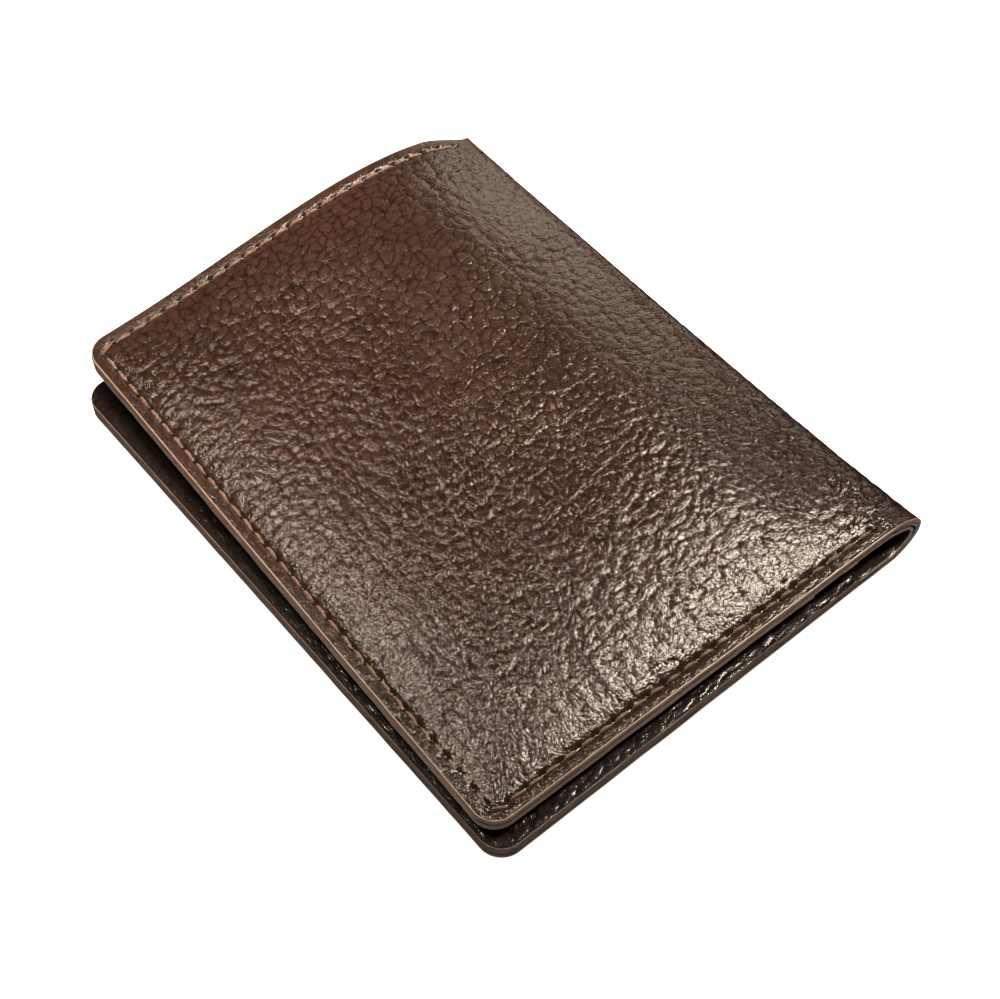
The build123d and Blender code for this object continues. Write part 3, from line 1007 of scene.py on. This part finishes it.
# Centre flap: backing, card pocket, window frame, film, stitching, and the strip that it hinges on
flapLow, flapHigh = boxMm("flap_backing")
pocketLow, pocketHigh = boxMm("flap_card_pocket")
frameLow, frameHigh = boxMm("flap_window_frame")
filmLow, filmHigh = boxMm("flap_window_film")
stripLow, stripHigh = boxMm("flap_hinge_strip")
flapSide = dict(reach=flapHigh[0] - flapLow[0], near=flapLow[1], far=flapHigh[1])
window = dict(size=(46, 76), radius=3.0, middle=(filmLow + filmHigh)[:2] / 2)
flapCut = dict(radius=4.0, step=0.6, edge=0.15, threadDepth=0.05)
stripCut = dict(beadAt=34, beadWidth=0.42, thickness=0.45, step=0.2, edge=0.1, radius=0.6)


def placeFlap(a, y, depth):
    # good face up
    return np.stack([flapHigh[0] - a, y + 0 * a, flapHigh[2] - depth + 0 * a], -1)


def placeUnder(a, y, depth):
    # good face down, under the flap
    return np.stack([flapHigh[0] - a, y + 0 * a, pocketLow[2] + depth + 0 * a], -1)


def roundedLoop(low, high, radius, straight, corner):
    # points round a rounded rectangle, anticlockwise, the same number on each side and corner
    left, right = low[0] + radius, high[0] - radius
    bottom, top = low[1] + radius, high[1] - radius
    middles = [(right, bottom), (right, top), (left, top), (left, bottom)]
    arcs = []
    for k, middle in enumerate(middles):
        turn = (k - 1 + np.linspace(0, 1, corner)) * math.pi / 2
        arcs.append(np.array(middle) + radius * np.stack([np.cos(turn), np.sin(turn)], 1))
    points = []
    for k, arc in enumerate(arcs):
        following = arcs[(k + 1) % 4][0]
        share = np.linspace(0, 1, straight + 2)[1:-1, None]
        points += [arc, arc[-1] + share * (following - arc[-1])]
    return np.concatenate(points)


def framePiece(
    name, outerLow, outerHigh, radius, innerLow, innerHigh, innerRadius, top, thickness, edge, relief
):
    # flat ring: its section runs across the top, round the inner rim, back below and round the outer rim
    straight, corner, topRow, rims, under = 90, 8, 26, 5, 4      # numbers of points
    outside = roundedLoop(outerLow, outerHigh, radius, straight, corner)
    inside = roundedLoop(innerLow, innerHigh, innerRadius, straight, corner)
    turn = np.linspace(-math.pi / 2, math.pi / 2, rims + 2)[1:-1]
    share = np.concatenate([np.linspace(0, 1, topRow), np.ones(rims), np.linspace(1, 0, under), np.zeros(rims)])
    rim = np.concatenate([np.zeros(topRow), np.ones(rims), np.zeros(under), np.ones(rims)])
    bulge = np.concatenate([np.zeros(topRow), np.cos(turn), np.zeros(under), -np.cos(turn)]) * edge
    fallen = [np.zeros(topRow), (1 + np.sin(turn)) / 2, np.ones(under), (1 - np.sin(turn)) / 2]
    depth = np.concatenate(fallen) * thickness
    away = inside - outside
    away /= np.linalg.norm(away, axis=1)[:, None]
    flat = outside[:, None] + (inside - outside)[:, None] * share[None, :, None]
    flat = flat + away[:, None] * bulge[None, :, None]
    height, creaseAndShade = grain(flat[..., 0], flat[..., 1], relief)
    onTop = share[:topRow]
    level = np.concatenate([smooth(0, 0.06, onTop) * (1 - smooth(0.94, 1, onTop)), np.zeros(2 * rims + under)])
    z = top - depth[None, :] + (height - 0.05) * level
    verts = np.concatenate([flat, z[..., None]], -1).reshape(-1, 3)
    index = np.arange(len(verts)).reshape(z.shape)
    right, up = np.roll(index, -1, 1), np.roll(index, -1, 0)
    quads = np.stack([index, right, np.roll(right, -1, 0), up], -1)[..., ::-1].reshape(-1, 4).tolist()
    marks = dict(rim=np.repeat(rim[None], len(z), 0).ravel(), creaseAndShade=(creaseAndShade * level).ravel())
    return meshOf(name, verts, quads, marks, flat.reshape(-1, 2))


a, y = gridFor(flapSide, 0, flapCut["step"], flapCut["edge"], flapCut["radius"])
backing = sheetPiece(
    "flap_panel", placeFlap, a, y, flapHigh[2] - flapLow[2], flapCut["edge"],
    relief=innerRelief(flapSide), flip=True,
)
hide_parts("flap_backing")
a, y = gridFor(flapSide, flapHigh[0] - pocketHigh[0], flapCut["step"], flapCut["edge"], flapCut["radius"])
flapPocket = sheetPiece(
    "flap_pocket", placeUnder, a, y, pocketHigh[2] - pocketLow[2], flapCut["edge"],
    relief=innerRelief(flapSide),
)
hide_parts("flap_card_pocket")
halfWindow = np.array(window["size"]) / 2
windowFrame = framePiece(
    "flap_frame", frameLow[:2], frameHigh[:2], flapCut["radius"],
    window["middle"] - halfWindow, window["middle"] + halfWindow, window["radius"],
    frameHigh[2], frameHigh[2] - frameLow[2], flapCut["edge"], innerGrain,
)
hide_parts("flap_window_frame")
frameSide = dict(reach=frameHigh[0] - frameLow[0], near=frameLow[1], far=frameHigh[1])


def placeFrameTop(a, y, depth):
    # the window frame's level top
    return np.stack([frameHigh[0] - a, y + 0 * a, frameHigh[2] - depth + 0 * a], -1)


flapThread = threadPiece("flap_thread", *stitchSpots(frameSide), placeFrameTop, 1, flapCut["threadDepth"])
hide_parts("flap_stitching")
for piece, finish, slot in (
    (backing, innerFinish, "inner_leather"), (flapPocket, innerFinish, "inner_leather"),
    (windowFrame, innerFinish, "inner_leather"), (flapThread, threadLook, "thread"),
):
    dress(piece, finish, slot)
    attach(piece, "center_flap")
film = bpy.data.objects["flap_window_film"].data
film.materials.clear()
film.materials.append(filmLook)

stripSide = dict(reach=stripHigh[0] - stripLow[0], near=stripLow[1], far=stripHigh[1])


def placeStrip(a, y, depth):
    # flat strip with the rolled bead that the flap turns on
    x = stripHigh[0] - a
    ply = stripCut["thickness"]
    bead = np.exp(-((x - stripCut["beadAt"]) / stripCut["beadWidth"]) ** 4) * (stripHigh[2] - stripLow[2] - ply)
    return np.stack([x, y + 0 * a, stripLow[2] + ply + bead - depth * (ply + bead) / ply], -1)


a, y = gridFor(stripSide, 0, stripCut["step"], stripCut["edge"], stripCut["radius"])
strip = sheetPiece(
    "hinge_strip", placeStrip, a, y, stripCut["thickness"], stripCut["edge"],
    relief=innerRelief(stripSide), flip=True,
)
dress(strip, innerFinish, "inner_leather")
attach(strip, "back_cover")
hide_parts("flap_hinge_strip")
print("flap made")

# Stage, light and camera
shot = dict(lens=68.94, azimuth=-39.82, elevation=56.1, distance=308, target=(-1.45, -5.2, 0))


def makeCamera():
    # turned round the target by azimuth, raised by elevation, at the distance
    turn, rise = math.radians(shot["azimuth"]), math.radians(shot["elevation"])
    back = Vector((math.sin(turn) * math.cos(rise), -math.cos(turn) * math.cos(rise), math.sin(rise)))
    camera = bpy.data.objects.new("camera", bpy.data.cameras.new("camera"))
    camera.data.lens = shot["lens"]
    camera.data.sensor_width = 36
    camera.data.clip_start, camera.data.clip_end = 0.01, 20
    camera.location = (Vector(shot["target"]) + back * shot["distance"]) * mm
    facing = back.to_track_quat("Z", "Y").to_matrix().to_4x4()
    camera.matrix_world = Matrix.Translation(camera.location) @ facing
    bpy.context.scene.collection.objects.link(camera)
    bpy.context.scene.camera = camera


def makeFloor():
    # a wide pale table
    f = Finish("pale floor")
    f.surface(
        Base_Color=rgb(0.9, 0.9, 0.9), Roughness=0.6, Emission_Color=rgb(1, 1, 1), Emission_Strength=1.0
    )
    halfSize = 3000.0
    corners = np.array([(-1, -1, 0), (1, -1, 0), (1, 1, 0), (-1, 1, 0)]) * halfSize
    floor = meshOf("floor", corners, [(0, 1, 2, 3)])
    floor.data.materials.append(f.material)
    floor.visible_glossy = False  # the table is out of the leather's shine


def hang(name, kind, place, target, power, colour):
    # a lamp at a place, turned to a target
    data = bpy.data.lights.new(name, kind)
    data.energy = power
    data.color = colour
    lamp = bpy.data.objects.new(name, data)
    lamp.location = place
    lamp.rotation_euler = (Vector(target) - Vector(place)).to_track_quat("-Z", "Y").to_euler()
    bpy.context.scene.collection.objects.link(lamp)
    return lamp


def softbox(name, place, target, size, power, colour):
    # a rectangular light, whose size gives the shape of the glints
    data = hang(name, "AREA", place, target, power, colour).data
    data.shape = "RECTANGLE"
    data.size, data.size_y = size


def pool(name, place, target, cone, power, colour):
    # a soft round pool of light that the leather's shine doesn't pick up
    lamp = hang(name, "SPOT", place, target, power, colour)
    lamp.data.spot_size, lamp.data.spot_blend, lamp.data.shadow_soft_size = cone, 1.0, 0.03
    lamp.visible_glossy = False


def makeWorld():
    # faint even light from all round
    world = bpy.data.worlds.new("studio")
    bpy.context.scene.world = world
    world.use_nodes = True
    sky = world.node_tree.nodes["Background"]
    sky.inputs["Color"].default_value = rgb(0.95, 0.96, 1.0)
    sky.inputs["Strength"].default_value = 0.03


makeCamera()
makeFloor()
makeWorld()
# name, place, target, size in metres (or the cone's angle), power in watts, colour
softbox("over near edge", (0.2, -0.085, 0.36), (0.01, -0.045, 0.01), (0.055, 0.1), 1.75, (1.0, 0.95, 0.86))
softbox("over free edge", (-0.1, 0.1, 0.37), (-0.036, -0.02, 0.01), (0.07, 0.05), 0.7, (1.0, 0.93, 0.84))
softbox("back right", (0.6, 0.35, 0.2), (0, 0, 0), (0.3, 0.2), 0.6, (1.0, 0.92, 0.82))
pool("warm pool", (-0.01, 0.06, 0.24), (0.0, 0.036, 0.01), 0.72, 6.5, (1.0, 0.9, 0.8))
bpy.context.scene.view_settings.view_transform = "Standard"
print("stage made")
